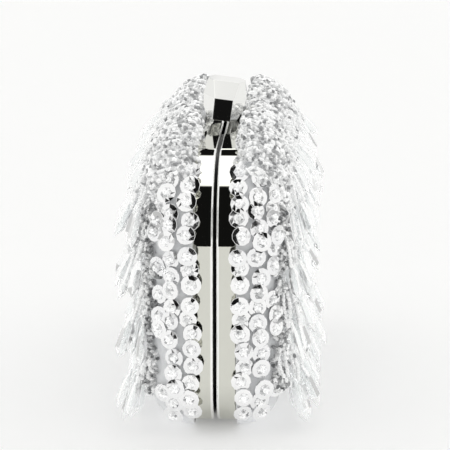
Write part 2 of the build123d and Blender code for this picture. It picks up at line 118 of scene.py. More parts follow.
# How sequins lie: one, two or three layers up, leaning out along the length and the depth, with
# a random tilt.
SEQUIN_LAYER = 0.0007
SEQUIN_LEAN_X = 0.35
SEQUIN_LEAN_Y = 0.12
SEQUIN_TILT = 0.08

# The cut beads in a sequin: one in its cup, and a ring of smaller ones around it. The jitter is
# in radians.
SEQUIN_CRYSTAL = 0.0020
SEQUIN_CRYSTAL_HEIGHT = 0.0015
RING_CRYSTALS = 6
RING_CRYSTAL_SHARE = 0.58
RING_HEIGHT = 0.0010
RING_REACH = (0.0011, 0.0015)
RING_JITTER = 0.35

# Seed beads: their diameter, how it varies, and their shape across and along the hole.
BEAD_DIAMETER = 0.0018
BEAD_SIZES = (0.88, 1.08)
BEAD_SHAPE = (0.85, 0.85, 1.2)

# A loop of seed beads: how many, the gap before its first bead in steps, its sideways lean, and
# the loops' pitch and lengths.
LOOP_BEADS = 7
LOOP_END_GAP = 0.35
LOOP_LEAN = 0.72
LOOP_PITCH = 0.0030
LOOP_LENGTHS = (0.0035, 0.0070)

# The crust of loops: from where to where it lies, measured from the parting, and how thick it is
# beside the frame and further out. Its layers and loop heights are shares of its thickness.
CRUST_FROM = 0.0090
CRUST_TO = 0.0275
CRUST_TOP = 0.0078
CRUST_OUT = 0.0030
CRUST_THINS_OVER = 0.015
CRUST_LAYERS = (0.08, 0.40, 0.70)
CRUST_LOOP_HEIGHTS = (0.252, 0.42)
CRUST_STRAIGHTNESS = 0.45

# The crust's lower edge on the ends: its height beside the frame, how much further down it comes
# for each step outwards and up to where, and the lowest that any of it is.
CRUST_EDGE_HEIGHT = 0.0935
CRUST_EDGE_SLANT = 0.75
CRUST_EDGE_REACH = 0.020
CRUST_LOWEST = 0.082

# Where the crust has its thinnest share: up to this far beside the clasp's middle, and from this
# height down on the ends. It reaches its full thickness over the fades.
CLASP_HALF_GAP = 0.016
CLASP_FADE = 0.008
END_HEIGHT = 0.088
END_FADE = 0.012
THINNEST_CRUST = 0.45

# The loops that lean in over the frame, with their random turn in radians.
EDGE_LOOPS_LOWEST = 0.0945
EDGE_LOOP_PITCH = 0.0017
EDGE_LOOP_JITTER = 0.0008
EDGE_LOOPS_CLASP_GAP = 0.018
EDGE_LOOPS_ACROSS = (0.0084, 0.0098)
EDGE_LOOP_LIFTS = (0.0, 0.0012)
EDGE_LOOP_TURN = 0.7
EDGE_LOOP_LENGTHS = (0.0012, 0.0030)
EDGE_LOOP_HEIGHTS = (0.0014, 0.0026)

# The loops down each rounded corner: their highest place, how far they go round the bottom
# corner, and how they lie.
CORNER_HIGHEST = 0.085
CORNER_ROUND_BOTTOM = 0.006
CORNER_ACROSS = (0.0226, 0.0310)
CORNER_LIFT = 0.0006
CORNER_STRAIGHTNESS = 0.1
CORNER_HEIGHTS = (0.0014, 0.0030)

# How each tier hangs, from the shoulder down: its lean in degrees, the length of its strands and
# drops, and how far it goes on past the CAD tier's ends.
TIER_LEANS = {"back": (27.0, 16.0, 14.0, 11.0, 16.0), "front": (28.0, 21.0, 20.0, 13.0, 13.0)}
TIER_STRANDS = (0.0085, 0.0135, 0.0135, 0.0150, 0.0172)
TIER_DROPS = (0.0145, 0.0165, 0.0165, 0.0165, 0.0185)
TIER_OVERHANG = 0.002

# The two layers of a tier: how far they stand off the sewn line, what each adds to the lean, and
# how widely strands and drops sway about that, in degrees.
LAYER_OFFSET = 0.0008
LAYER_STEP = 0.0016
LAYER_LEANS = (-2.0, 2.0)
STRAND_SPREAD = 3.0
DROP_SPREAD = 3.5
WIDEST_SWAY = 1.5

# How strands splay along the length: at random, more towards the ends, and most at the very ends.
SPLAY_RANDOM = 0.20
SPLAY_OUTWARDS = 0.10
SPLAY_ENDS = 0.45
SPLAY_ENDS_POWER = 15

# Strands: their pitch and its jitter, their lengths as shares of the tier's, half the gap between
# the two at a place, and their beads' spacing in diameters, sag and turn.
STRAND_PITCH = 0.0036
STRAND_JITTER = 0.35
STRAND_LENGTHS = (0.85, 1.10)
STRAND_HALF_GAP = 0.0011
STRAND_BEAD_STEP = 0.9
STRAND_SAG = 0.0011
STRAND_BEAD_TURN = 0.002

# Drops: their pitch, where on a strand they start, their width, how it, their thickness and their
# length vary, how far they swing out of line, and how far their tips stay above the ground.
DROP_PITCH = 0.0023
DROP_STARTS = (0.70, 1.0)
DROP_WIDTH = 0.0040
DROP_WIDTHS = (0.75, 1.3)
DROP_THICKNESS = 0.75
DROP_LENGTHS = (0.80, 1.0)
DROP_SWING = 0.12
DROP_CLEARANCE = 0.0008

# The studio by direction: dark gaps ahead and behind, dark flags on both sides and a bright
# softbox above. How far sideways each lies and its turns in degrees are told as a low edge, a high
# edge and their softness.
TENT_LEVEL = 0.955
TENT_COLOUR = (1.0, 1.0, 0.99, 1.0)
AHEAD_SIDES = (-0.13, 0.13, 0.03)
AHEAD_TURNS = (-30.0, 74.0, 1.5)
BEHIND_SIDES = (-0.14, -0.018, 0.012)
BEHIND_TURNS = (138.0, 172.0, 2.0)
FLAG_SIDES = (0.50, 0.72, 0.03)
FLAG_TURNS = (-4.0, 45.0, 4.0)
GAP_DARKNESS = 0.992
SOFTBOX_SIDES = (-0.075, 0.075, 0.02)
SOFTBOX_TURNS = (75.0, 137.0, 1.5)
SOFTBOX_EXTRA = 1.0

# The grey flanks of the tent: how far sideways they start, their heights and their shade.
FLANK_EDGE = (0.90, 0.03)
FLANK_HEIGHTS = (0.02, 0.24, 0.03)
FLANK_SHADE = 0.45

# The pale tabletop: half its width, where it ends in front of the bag, and how far it is below it.
TABLE_HALF_WIDTH = 6.0
TABLE_END_X = 0.40
TABLE_DROP = 0.0002

# The light that the table gives off itself, rising between these distances from the middle, told
# in half lengths and half depths of the bag. Its lack under and around the bag is a painted shadow.
FLOOR_GLOW = 0.365
PAINTED_FLOOR_SHADOW_REACH = (0.40, 1.05)

# The table clears over pieces below it: how far down they are looked for, and the shares of open
# space below it between which it clears.
BELOW_DEPTH = 0.10
BELOW_OPEN = (0.35, 0.5)

# The camera's direction from its target, in degrees: round from -Y, and above the ground.
CAMERA_AZIMUTH = 92.66
CAMERA_ELEVATION = 12.59
CAMERA_TARGET = (HALF_LENGTH, 0.00378, 0.07714)
CAMERA_DISTANCE = 0.90
CAMERA_LENS = 205.85
CAMERA_SENSOR = 36.0

WHITE = (1.0, 1.0, 1.0, 1.0)


def joint_named(name):
    """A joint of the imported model."""
    return next(joint for joint in frame["joints"] if joint["name"] == name)


# ---- The cover's surface ----


def outline(run):
    """Places (x, z) and outward angles on the bag's front outline.

    run is the signed distance along it from the middle of the top, positive to +X.
    """
    far = np.abs(run)
    top = HALF_LENGTH - TOP_CORNER_RADIUS
    top_arc = TOP_CORNER_RADIUS * math.pi / 2
    side = BAG_HEIGHT - TOP_CORNER_RADIUS - BOTTOM_CORNER_RADIUS
    bottom_arc = BOTTOM_CORNER_RADIUS * math.pi / 2
    turn_top = np.clip((far - top) / TOP_CORNER_RADIUS, 0, math.pi / 2)
    down = np.clip(far - top - top_arc, 0, side)
    turn_bottom = np.clip((far - top - top_arc - side) / BOTTOM_CORNER_RADIUS, 0, math.pi / 2)
    inwards = np.maximum(far - top - top_arc - side - bottom_arc, 0)
    x = np.minimum(far, top) + TOP_CORNER_RADIUS * np.sin(turn_top)
    x = x - BOTTOM_CORNER_RADIUS * (1 - np.cos(turn_bottom)) - inwards
    z = BAG_HEIGHT - TOP_CORNER_RADIUS * (1 - np.cos(turn_top)) - down
    z = z - BOTTOM_CORNER_RADIUS * np.sin(turn_bottom)
    angle = math.pi / 2 - turn_top - turn_bottom
    return np.where(run < 0, -x, x), z, np.where(run < 0, math.pi - angle, angle)


def run_to_height(z):
    """How far down the outline a height on the top corner or the straight side lies."""
    top = HALF_LENGTH - TOP_CORNER_RADIUS
    centre = BAG_HEIGHT - TOP_CORNER_RADIUS
    if z > centre:
        return top + TOP_CORNER_RADIUS * math.acos((z - centre) / TOP_CORNER_RADIUS)
    return top + TOP_CORNER_RADIUS * math.pi / 2 + centre - z


def skin(run, across, lift, side):
    """Places on the cover, with their normals and the directions along the outline.

    across is the distance from the parting over the edge's rounding and on over the face.
    """
    run, across = np.broadcast_arrays(np.asarray(run, float), np.asarray(across, float))
    x, z, angle = outline(run)
    flat = HALF_DEPTH - FACE_EDGE_RADIUS
    turn = np.clip((across - flat) / FACE_EDGE_RADIUS, 0, math.pi / 2)
    beyond = np.maximum(across - flat - FACE_EDGE_RADIUS * math.pi / 2, 0)
    y = np.minimum(across, flat) + FACE_EDGE_RADIUS * np.sin(turn)
    inset = FACE_EDGE_RADIUS * (1 - np.cos(turn)) + beyond
    out_x, out_z = np.cos(angle), np.sin(angle)
    normal = np.stack([out_x * np.cos(turn), side * np.sin(turn), out_z * np.cos(turn)], -1)
    place = np.stack([x - out_x * inset, side * y, z - out_z * inset], -1)
    along = np.stack([out_z, np.zeros_like(out_z), -out_x], -1)
    return place + normal * np.asarray(lift)[..., None], normal, along


# ---- Meshes made of many copies ----


def unit(v):
    """Directions scaled to length 1."""
    return v / np.linalg.norm(v, axis=-1, keepdims=True)


def mesh_object(name, points, triangles, material, smooth):
    """A new object from arrays of points and triangles."""
    mesh = bpy.data.meshes.new(name)
    mesh.vertices.add(len(points))
    mesh.vertices.foreach_set("co", np.asarray(points, np.float32).ravel())
    mesh.loops.add(3 * len(triangles))
    mesh.loops.foreach_set("vertex_index", np.asarray(triangles, np.int32).ravel())
    mesh.polygons.add(len(triangles))
    mesh.polygons.foreach_set("loop_start", np.arange(0, 3 * len(triangles), 3, dtype=np.int32))
    mesh.polygons.foreach_set("use_smooth", np.full(len(triangles), smooth))
    mesh.update(calc_edges=True)
    mesh.materials.append(material)
    made = bpy.data.objects.new(name, mesh)
    bpy.context.scene.collection.objects.link(made)
    return made


def copies(shape, places, axes, sizes):
    """One shape's points and triangles repeated at each place, turned to its axes and scaled.

    axes holds each copy's x, y and z directions as rows, and sizes its scale along each.
    """
    points, triangles = shape
    scaled = points[None] * sizes[:, None, :]
    moved = np.einsum("nvk,nkj->nvj", scaled, axes) + places[:, None, :]
    offsets = np.arange(len(places))[:, None, None] * len(points)
    return moved.reshape(-1, 3), (triangles[None] + offsets).reshape(-1, 3)


def joined(pieces):
    """Several (points, triangles) pairs as one pair."""
    counts = np.cumsum([0] + [len(points) for points, _ in pieces[:-1]])
    points = np.concatenate([points for points, _ in pieces])
    return points, np.concatenate([faces + start for (_, faces), start in zip(pieces, counts)])


def turned_shape(profile, sides, twist=0.0):
    """A closed shape of flat-sided rings, from (radius, z) pairs; a radius of 0 makes a point."""
    points, rings = [], []
    for i, (radius, z) in enumerate(profile):
        count = 1 if radius == 0 else sides
        rings.append((len(points), count))
        for k in range(count):
            a = 2 * math.pi * k / sides + twist * i
            points.append((radius * math.cos(a), radius * math.sin(a), z))
    triangles = []
    for (low, low_count), (high, high_count) in zip(rings, rings[1:]):
        for k in range(sides):
            n = (k + 1) % sides
            if low_count > 1:
                triangles.append((low + k, low + n, high + (n if high_count > 1 else 0)))
            if high_count > 1:
                triangles.append((low + (k if low_count > 1 else 0), high + n, high + k))
    return np.array(points, float), np.array(triangles)


def frames_from(z_axis, spin):
    """Axes whose z points along z_axis, turned about it by spin."""
    z_axis = unit(z_axis)
    helper = np.where(np.abs(z_axis[:, 2:]) < 0.9, [[0.0, 0.0, 1.0]], [[1.0, 0.0, 0.0]])
    x_axis = unit(np.cross(helper, z_axis))
    y_axis = np.cross(z_axis, x_axis)
    c, s = np.cos(spin)[:, None], np.sin(spin)[:, None]
    return np.stack([x_axis * c + y_axis * s, y_axis * c - x_axis * s, z_axis], 1)


def ball(sides, rings):
    """A ball of diameter 1 with flat sides."""
    profile = [(0, -0.5)]
    for i in range(rings):
        a = math.pi * (i + 1) / (rings + 1) - math.pi / 2
        profile.append((0.5 * math.cos(a), 0.5 * math.sin(a)))
    return turned_shape(profile + [(0, 0.5)], sides)


# Shapes of unit size: a seed bead, a cut bead, and a drop that hangs from its tip at the origin.
SEED_BEAD = ball(6, 3)
CUT_BEAD = turned_shape([(0, -0.42), (0.3, -0.38), (0.5, 0), (0.3, 0.38), (0, 0.42)], 8, 0.39)
DROP = turned_shape([(0, 0), (0.14, -0.03), (0.44, -0.30), (0.5, -0.78), (0, -1)], 6)


def clear_of_clasp(centres):
    """Which places a bead can take without being in the clasp knob's way as it is pressed."""
    low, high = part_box("clasp_knob")
    press = joint_named("clasp_press")["range_m"][1]
    low = np.array(low) - BEAD_DIAMETER - (0, 0, press)
    high = np.array(high) + BEAD_DIAMETER
    return ~np.all((centres > low) & (centres < high), axis=1)


def seed_beads(centres, directions):
    """Seed beads at the centres, their holes pointing along the directions."""
    count = len(centres)
    sizes = BEAD_DIAMETER * random.uniform(*BEAD_SIZES, (count, 1)) * np.array([BEAD_SHAPE])
    axes = frames_from(directions, random.uniform(0, math.tau, count))
    return copies(SEED_BEAD, centres, axes, sizes)


# ---- Materials ----


class Nodes:
    """Short names for building the nodes of a material or a world around its shader."""

    def __init__(self, owner, shader="Principled BSDF"):
        owner.use_nodes = True
        self.owner = owner
        self.tree = owner.node_tree
        self.shader = self.tree.nodes[shader]

    def add(self, kind, inputs=(), **settings):
        """A new node, its inputs linked or set."""
        node = self.tree.nodes.new(kind)
        for key, value in settings.items():
            setattr(node, key, value)
        for key, value in dict(inputs).items():
            self.put(node.inputs[key], value)
        return node

    def put(self, socket, value):
        """Links an input to another node's output, or sets it to a plain value."""
        if isinstance(value, bpy.types.NodeSocket):
            self.tree.links.new(value, socket)
        else:
            socket.default_value = value

    def set(self, **values):
        """Links or sets the shader's inputs, named with _ for a space."""
        for key, value in values.items():
            self.put(self.shader.inputs[key.replace("_", " ")], value)

    def objects_place(self):
        """The place on the object, in metres."""
        return self.add("ShaderNodeTexCoord").outputs["Object"]

    def island(self):
        """A value from 0 to 1 that differs between the loose parts of a mesh."""
        return self.add("ShaderNodeNewGeometry").outputs["Random Per Island"]

    def noise(self, place, scale, detail):
        """Soft noise from 0 to 1."""
        inputs = {"Vector": place, "Scale": scale, "Detail": detail}
        return self.add("ShaderNodeTexNoise", inputs).outputs["Fac"]

    def stretched(self, place, scale):
        """The place, scaled along each axis."""
        return self.add("ShaderNodeMapping", {"Vector": place, "Scale": scale}).outputs["Vector"]

    def calc(self, operation, *values):
        """One step of arithmetic."""
        return self.add("ShaderNodeMath", dict(enumerate(values)), operation=operation).outputs[0]

    def spread(self, value, low, high, start=0.0, end=1.0, curve="LINEAR"):
        """A value that runs from start to end, turned into one that runs from low to high."""
        inputs = {"Value": value, "From Min": start, "From Max": end, "To Min": low, "To Max": high}
        node = self.add("ShaderNodeMapRange", inputs, interpolation_type=curve)
        return node.outputs["Result"]

    def above(self, value, edge, soft):
        """0 below an edge and 1 above it, with a soft step."""
        return self.spread(value, 0.0, 1.0, edge - soft, edge + soft, "SMOOTHSTEP")

    def between(self, value, low, high, soft):
        """1 between two edges and 0 outside them, with soft steps."""
        return self.calc("SUBTRACT", self.above(value, low, soft), self.above(value, high, soft))

    def blend(self, factor, low, high):
        """One colour where the factor is 0, another where it is 1."""
        node = self.add("ShaderNodeMix", {"Factor": factor}, data_type="RGBA")
        colour_a, colour_b = (s for s in node.inputs if s.type == "RGBA")
        self.put(colour_a, low)
        self.put(colour_b, high)
        return next(s for s in node.outputs if s.type == "RGBA")

    def bump(self, height, strength, distance, normal=None):
        """A normal that follows small heights, from the surface's own normal or another."""
        inputs = {"Height": height, "Strength": strength, "Distance": distance}
        if normal is not None:
            inputs["Normal"] = normal
        return self.add("ShaderNodeBump", inputs).outputs["Normal"]


def new_nodes(name):
    """The nodes of a new material."""
    return Nodes(bpy.data.materials.new(name))


def dimmed(tone, share):
    """A colour with its light cut to a share."""
    return tuple(share * c for c in tone[:3]) + (1,)


def chrome(name, tone, roughness, painted_highlight_tone=None):
    """Polished plating with faint smears and hairline scratches, and a painted highlight along the
    parting's edge.
    """
    n = new_nodes(name)
    place = n.objects_place()
    smears = n.noise(place, scale=60.0, detail=3.0)
    hairlines = n.noise(n.stretched(place, (900.0, 900.0, 40.0)), scale=3.0, detail=2.0)
    n.set(Metallic=1.0, Roughness=n.spread(smears, roughness * 0.5, roughness * 1.7))
    plating = n.blend(smears, tone, dimmed(tone, 0.96))
    # Painted highlight: the plating turns to the highlight tone beside the parting.
    if painted_highlight_tone is not None:
        across = n.add("ShaderNodeSeparateXYZ", {"Vector": place}).outputs["Y"]
        beside = n.spread(n.calc("ABSOLUTE", across), 1.0, 0.0, *PAINTED_EDGE_HIGHLIGHT)
        plating = n.blend(beside, plating, painted_highlight_tone)
    n.set(Base_Color=plating)
    rounded = n.add("ShaderNodeBevel", {"Radius": POLISHED_BEVEL}, samples=6).outputs["Normal"]
    n.set(Normal=n.bump(hairlines, strength=0.02, distance=0.00002, normal=rounded))
    return n.owner


def plated_steel(name, tone):
    """Nickel-plated pressed steel with a fine grain."""
    n = new_nodes(name)
    lines = n.noise(n.stretched(n.objects_place(), (300.0, 3000.0, 3000.0)), scale=2.0, detail=3.0)
    n.set(Metallic=1.0, Roughness=n.spread(lines, 0.22, 0.4))
    n.set(Base_Color=n.blend(lines, tone, dimmed(tone, 0.85)))
    n.set(Normal=n.bump(lines, strength=0.1, distance=0.00003))
    return n.owner


def satin(name, tone, shade):
    """Close satin weave: fine floats one way, a soft sheen and slight colour change."""
    n = new_nodes(name)
    place = n.objects_place()
    wide = n.noise(place, scale=35.0, detail=3.0)
    threads = []
    for direction, scale, wander in (("Z", 1100.0, 0.6), ("X", 700.0, 0.8)):
        inputs = {"Vector": place, "Scale": scale, "Distortion": wander}
        settings = {"wave_type": "BANDS", "bands_direction": direction}
        threads.append(n.add("ShaderNodeTexWave", inputs, **settings).outputs["Fac"])
    n.set(Base_Color=n.blend(wide, tone, shade), Roughness=n.spread(wide, 0.34, 0.5))
    n.set(Sheen_Weight=0.4, Sheen_Roughness=0.35, Anisotropic=0.5)
    n.set(Normal=n.bump(n.calc("ADD", *threads), strength=0.18, distance=0.00012))
    return n.owner


def silver_glass(name, shaded_share, painted_glow):
    """Silver-lined glass beads with a painted glow, a share of them painted nearly black as the
    shade between beads.
    """
    n = new_nodes(name)
    island = n.island()
    bright = n.blend(island, WHITE, (0.86, 0.87, 0.87, 1))
    # Painted shade: a share of the beads runs down to nearly black, standing in for the shade in
    # the gaps between beads.
    painted_shade = n.spread(island, 0.0, 1.0, start=1 - shaded_share, end=1.0)
    n.set(Base_Color=n.blend(painted_shade, bright, (0.04, 0.045, 0.05, 1)))
    n.set(Metallic=n.spread(island, 0.35, 0.75), Roughness=n.spread(island, 0.20, 0.06))
    # Painted glow: the beads give off light of their own.
    n.set(Emission_Color=WHITE, Emission_Strength=painted_glow)
    n.set(Coat_Weight=1.0, Coat_Roughness=0.03)
    dents = n.noise(n.objects_place(), scale=900.0, detail=2.0)
    n.set(Normal=n.bump(dents, strength=0.25, distance=0.0001))
    return n.owner


def clear_drop(name):
    """Bright cut drops with faint clouding, soft polishing marks and a faint painted glow."""
    n = new_nodes(name)
    cloud = n.noise(n.objects_place(), scale=220.0, detail=3.0)
    n.set(Base_Color=n.blend(n.island(), WHITE, (0.93, 0.95, 0.95, 1)))
    n.set(Transmission_Weight=0.85, IOR=1.48, Roughness=n.spread(cloud, 0.0, 0.12))
    # Painted glow: the drops give off a little light of their own.
    n.set(Emission_Color=WHITE, Emission_Strength=0.05)
    n.set(Normal=n.bump(cloud, strength=0.05, distance=0.0001))
    return n.owner


def sequin_silver(name):
    """Metallised film: mirror bright, with fine stamping ripples and a change of tone by piece."""
    n = new_nodes(name)
    island = n.island()
    ripple = n.noise(n.objects_place(), scale=500.0, detail=2.0)
    n.set(Metallic=1.0, Roughness=n.spread(island, 0.03, 0.14))
    n.set(Base_Color=n.blend(island, (0.99, 0.99, 0.99, 1), (0.92, 0.92, 0.93, 1)))
    n.set(Normal=n.bump(ripple, strength=0.12, distance=0.0001))
    return n.owner


def board(name):
    """The pressed inner shell, with a dull rolled surface."""
    n = new_nodes(name)
    grain = n.noise(n.objects_place(), scale=400.0, detail=4.0)
    n.set(Metallic=0.9, Roughness=n.spread(grain, 0.38, 0.55))
    n.set(Base_Color=n.blend(grain, (0.55, 0.55, 0.57, 1), (0.68, 0.68, 0.7, 1)))
    n.set(Normal=n.bump(grain, strength=0.1, distance=0.0001))
    return n.owner


# The frames carry a near-white painted highlight along the parting.
FRAME_CHROME = chrome("frame_chrome", (0.70, 0.70, 0.64, 1), 0.03, (1.0, 1.0, 0.98, 1))
CLASP_CHROME = chrome("clasp_chrome", (0.88, 0.88, 0.86, 1), 0.03)
# The closing lip's steel is painted nearly black, as the shade inside the parting gap.
PARTING_SHADE_STRIP = plated_steel("parting_painted_shade", (0.006, 0.006, 0.006, 1))
STEEL = plated_steel("plated_steel", (0.72, 0.72, 0.72, 1))
SPRING_STEEL = plated_steel("spring_wire", (0.55, 0.55, 0.56, 1))
SHELL_BOARD = board("shell_board")
COVER_SATIN = satin("cover_satin", (0.88, 0.89, 0.91, 1), (0.95, 0.96, 0.97, 1))
LINING_SATIN = satin("lining_satin", (0.62, 0.61, 0.66, 1), (0.72, 0.71, 0.76, 1))
# After each name: the share of beads painted nearly black as shade between them, then the strength
# of their painted glow.
SEED_GLASS = silver_glass("seed_glass", 0.62, 0.17)
# Most corner beads are painted nearly black, as the shadow beside the fringe's edge.
SHADED_CORNER_GLASS = silver_glass("corner_glass_painted_shadow", 0.85, 0.04)
FRINGE_GLASS = silver_glass("fringe_glass", 0.12, 0.15)
CUT_CRYSTAL = silver_glass("cut_crystal", 0.24, 0.22)
DROP_CRYSTAL = clear_drop("drop_crystal")
SEQUIN_FILM = sequin_silver("sequin_film")


# ---- Cover and lining ----


def ring_grid(rows, side):
    """Closed rings of points joined into triangles, ending in one middle point."""
    count = len(rows[0])
    points = np.concatenate(rows + [rows[-1].mean(0, keepdims=True)])
    triangles = []
    for i in range(len(rows) - 1):
        for k in range(count):
            n = (k + 1) % count
            a, b, c, d = i * count + k, i * count + n, (i + 1) * count + n, (i + 1) * count + k
            triangles += [(a, b, c), (a, c, d)]
    last, middle = (len(rows) - 1) * count, len(points) - 1
    triangles += [(last + k, last + (k + 1) % count, middle) for k in range(count)]
    triangles = np.array(triangles)
    return points, triangles if side > 0 else triangles[:, ::-1]


def half_rings(inset, edge_y, side, turned_in):
    """Rings over a half's side, its rounded edge and its face, set in from the cover."""
    bottom_corner = run_to_height(BOTTOM_CORNER_RADIUS) + BOTTOM_CORNER_RADIUS * math.pi / 2
    half_round = bottom_corner + HALF_LENGTH - BOTTOM_CORNER_RADIUS
    run = np.linspace(-half_round, half_round, OUTLINE_STEPS, endpoint=False)
    flat = HALF_DEPTH - FACE_EDGE_RADIUS
    lift = np.full(len(run), -inset)
    rows = []
    if turned_in:
        for past, below in TURNED_EDGE:
            rows.append(skin(run, edge_y + past, lift - below, side)[0])
    for across in np.linspace(edge_y + EDGE_ROUNDING, flat, SIDE_ROWS):
        rows.append(skin(run, across, lift, side)[0])
    for turn in np.linspace(0, math.pi / 2, ROUNDING_ROWS + 1)[1:]:
        rows.append(skin(run, flat + FACE_EDGE_RADIUS * turn, lift, side)[0])
    rim = rows[-1]
    middle = rim.mean(0, keepdims=True)
    for share in np.linspace(1, SMALLEST_FACE_RING, FACE_ROWS + 1)[1:]:
        rows.append(middle + (rim - middle) * share)
    return rows


def covers():
    """The satin over each half, turned in along the frame."""
    for name, side in SIDES.items():
        rows = half_rings(0.0, COVER_EDGE_Y, side, turned_in=True)
        points, triangles = ring_grid(rows, side)
        made = mesh_object(f"{name}_satin_cover", points, triangles, COVER_SATIN, smooth=True)
        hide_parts(f"{name}_cover")
        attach(made, f"{name}_half")


def linings():
    """The satin lining of each half."""
    for name, side in SIDES.items():
        low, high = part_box(f"{name}_lining")
        edge_y = min(abs(low.y), abs(high.y))
        rows = half_rings(low.z + LINING_SLACK, edge_y, side, turned_in=False)
        points, triangles = ring_grid(rows, -side)
        made = mesh_object(f"{name}_satin_lining", points, triangles, LINING_SATIN, smooth=True)
        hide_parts(f"{name}_lining")
        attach(made, f"{name}_half")


def pocket():
    """The satin slip pocket in the back half, whose mouth stands a little open."""
    low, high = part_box("back_pocket")
    shares = np.linspace(-1, 1, POCKET_COLUMNS + 1), np.linspace(0, 1, POCKET_ROWS + 1)
    across, up = np.meshgrid(*shares)
    x = across * high.x
    bow = POCKET_BOW * (1 - across**2) * up**2
    z = low.z + (high.z - low.z) * up - 2 * bow * up
    y = high.y - POCKET_SLACK - bow
    points = np.stack([x, y, z], -1).reshape(-1, 3)
    triangles = []
    for r in range(POCKET_ROWS):
        for c in range(POCKET_COLUMNS):
            a = r * (POCKET_COLUMNS + 1) + c
            b = a + POCKET_COLUMNS + 1
            triangles += [(a, a + 1, b + 1), (a, b + 1, b)]
    made = mesh_object("satin_pocket", points, np.array(triangles), LINING_SATIN, smooth=True)
    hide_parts("back_pocket")
    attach(made, "back_half")


# ---- Sequins ----


def sequin_shape():
    """A faceted cup sequin of radius 1 facing +Z: a six-sided cup inside a round brim."""
    points = [(0.0, 0.0, 0.0)]
    for level, (radius, z) in enumerate(SEQUIN_RINGS):
        for k in range(SEQUIN_SIDES):
            a = 2 * math.pi * k / SEQUIN_SIDES
            flat = math.cos(math.pi / 6) if level < CUP_RINGS and k % 2 else 1.0
            points.append((radius * flat * math.cos(a), radius * flat * math.sin(a), z))
    triangles = [(0, 1 + k, 1 + (k + 1) % SEQUIN_SIDES) for k in range(SEQUIN_SIDES)]
    for level in range(len(SEQUIN_RINGS) - 1):
        inner = 1 + level * SEQUIN_SIDES
        outer = inner + SEQUIN_SIDES
        for k in range(SEQUIN_SIDES):
            n = (k + 1) % SEQUIN_SIDES
            triangles += [(inner + k, outer + k, outer + n), (inner + k, outer + n, inner + n)]
    return np.array(points), np.array(triangles)


def sequin_places(name, side, end):
    """Centres and normals for the sequins on one end of one half."""
    places, normals = [], []
    for column, (at_top, at_bottom) in enumerate(SEQUIN_COLUMNS[name]):
        bottom_turn = math.radians(SEQUIN_BOTTOM_TURNS[column])
        lowest = run_to_height(BOTTOM_CORNER_RADIUS) + BOTTOM_CORNER_RADIUS * bottom_turn
        highest = run_to_height(SEQUIN_TOPS[column])
        count = int((lowest - highest) / SEQUIN_PITCH)
        step = np.arange(count)
        run = highest + (step + 0.5 * (column % 2)) * SEQUIN_PITCH
        run = run + random.uniform(-SEQUIN_JITTER_ALONG, SEQUIN_JITTER_ALONG, count)
        across = at_top + (at_bottom - at_top) * step / count
        wander = across + random.uniform(-SEQUIN_JITTER_ACROSS, SEQUIN_JITTER_ACROSS, count)
        lift = SEQUIN_LAYER * (1 + (step + column) % 3)
        kept = random.uniform(0, 1, count) < SEQUIN_KEPT[column]
        place, normal, _ = skin(end * run[kept], wander[kept], lift[kept], side)
        places.append(place)
        normals.append(normal)
    return np.concatenate(places), np.concatenate(normals)


def sequins():
    """The sequins of each half's two ends and the beads that hold them."""
    shape = sequin_shape()
    for name, side in SIDES.items():
        discs, beads = [], []
        for end in (1, -1):
            place, normal = sequin_places(name, side, end)
            count = len(place)
            outwards = np.array([[SEQUIN_LEAN_X * end, SEQUIN_LEAN_Y * side, 0.0]])
            tilted = unit(normal + outwards + random.normal(0, SEQUIN_TILT, (count, 3)))
            axes = frames_from(tilted, random.uniform(0, math.tau, count))
            radii = SEQUIN_RADIUS * random.uniform(*SEQUIN_WIDTHS, (count, 1))
            discs.append(copies(shape, place, axes, np.repeat(radii, 3, axis=1)))
            beads.append(sequin_bead_cluster(place, tilted))
        film = mesh_object(f"{name}_cup_sequins", *joined(discs), SEQUIN_FILM, smooth=False)
        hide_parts(f"{name}_sequins")
        crystal = mesh_object(f"{name}_sequin_crystals", *joined(beads), CUT_CRYSTAL, smooth=False)
        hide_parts(f"{name}_sequin_beads")
        for made in (film, crystal):
            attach(made, f"{name}_half")


def sequin_bead_cluster(place, normal):
    """A cut bead in each sequin's cup, inside a ring of smaller ones."""
    count = len(place)
    axes = frames_from(normal, random.uniform(0, math.tau, count))
    sizes = np.full((count, 3), SEQUIN_CRYSTAL)
    clusters = [copies(CUT_BEAD, place + normal * SEQUIN_CRYSTAL_HEIGHT, axes, sizes)]
    for k in range(RING_CRYSTALS):
        spin = math.tau * k / RING_CRYSTALS + random.uniform(-RING_JITTER, RING_JITTER, count)
        outwards = axes[:, 0] * np.cos(spin)[:, None] + axes[:, 1] * np.sin(spin)[:, None]
        reach = random.uniform(*RING_REACH, (count, 1))
        at = place + normal * RING_HEIGHT + outwards * reach
        around = frames_from(outwards, random.uniform(0, math.tau, count))
        clusters.append(copies(CUT_BEAD, at, around, sizes * RING_CRYSTAL_SHARE))
    return joined(clusters)


# ---- Bead loops ----


def bead_loops(place, normal, heading, length, height):
    """Loops of seed beads that stand on the cover, each arching along its heading."""
    lean = random.uniform(-LOOP_LEAN, LOOP_LEAN, len(place))
    rise = unit(normal + np.cross(normal, heading) * lean[:, None])
    length, height = length[:, None], height[:, None]
    beads, holes = [], []
    for i in range(LOOP_BEADS):
        a = math.pi * (i + LOOP_END_GAP) / (LOOP_BEADS - 1 + 2 * LOOP_END_GAP)
        forward = heading * length / 2
        beads.append(place + forward * (1 - math.cos(a)) + rise * height * math.sin(a))
        holes.append(forward * math.sin(a) + rise * height * math.cos(a))
    beads, holes = np.concatenate(beads), np.concatenate(holes)
    free = clear_of_clasp(beads)
    return seed_beads(beads[free], holes[free])


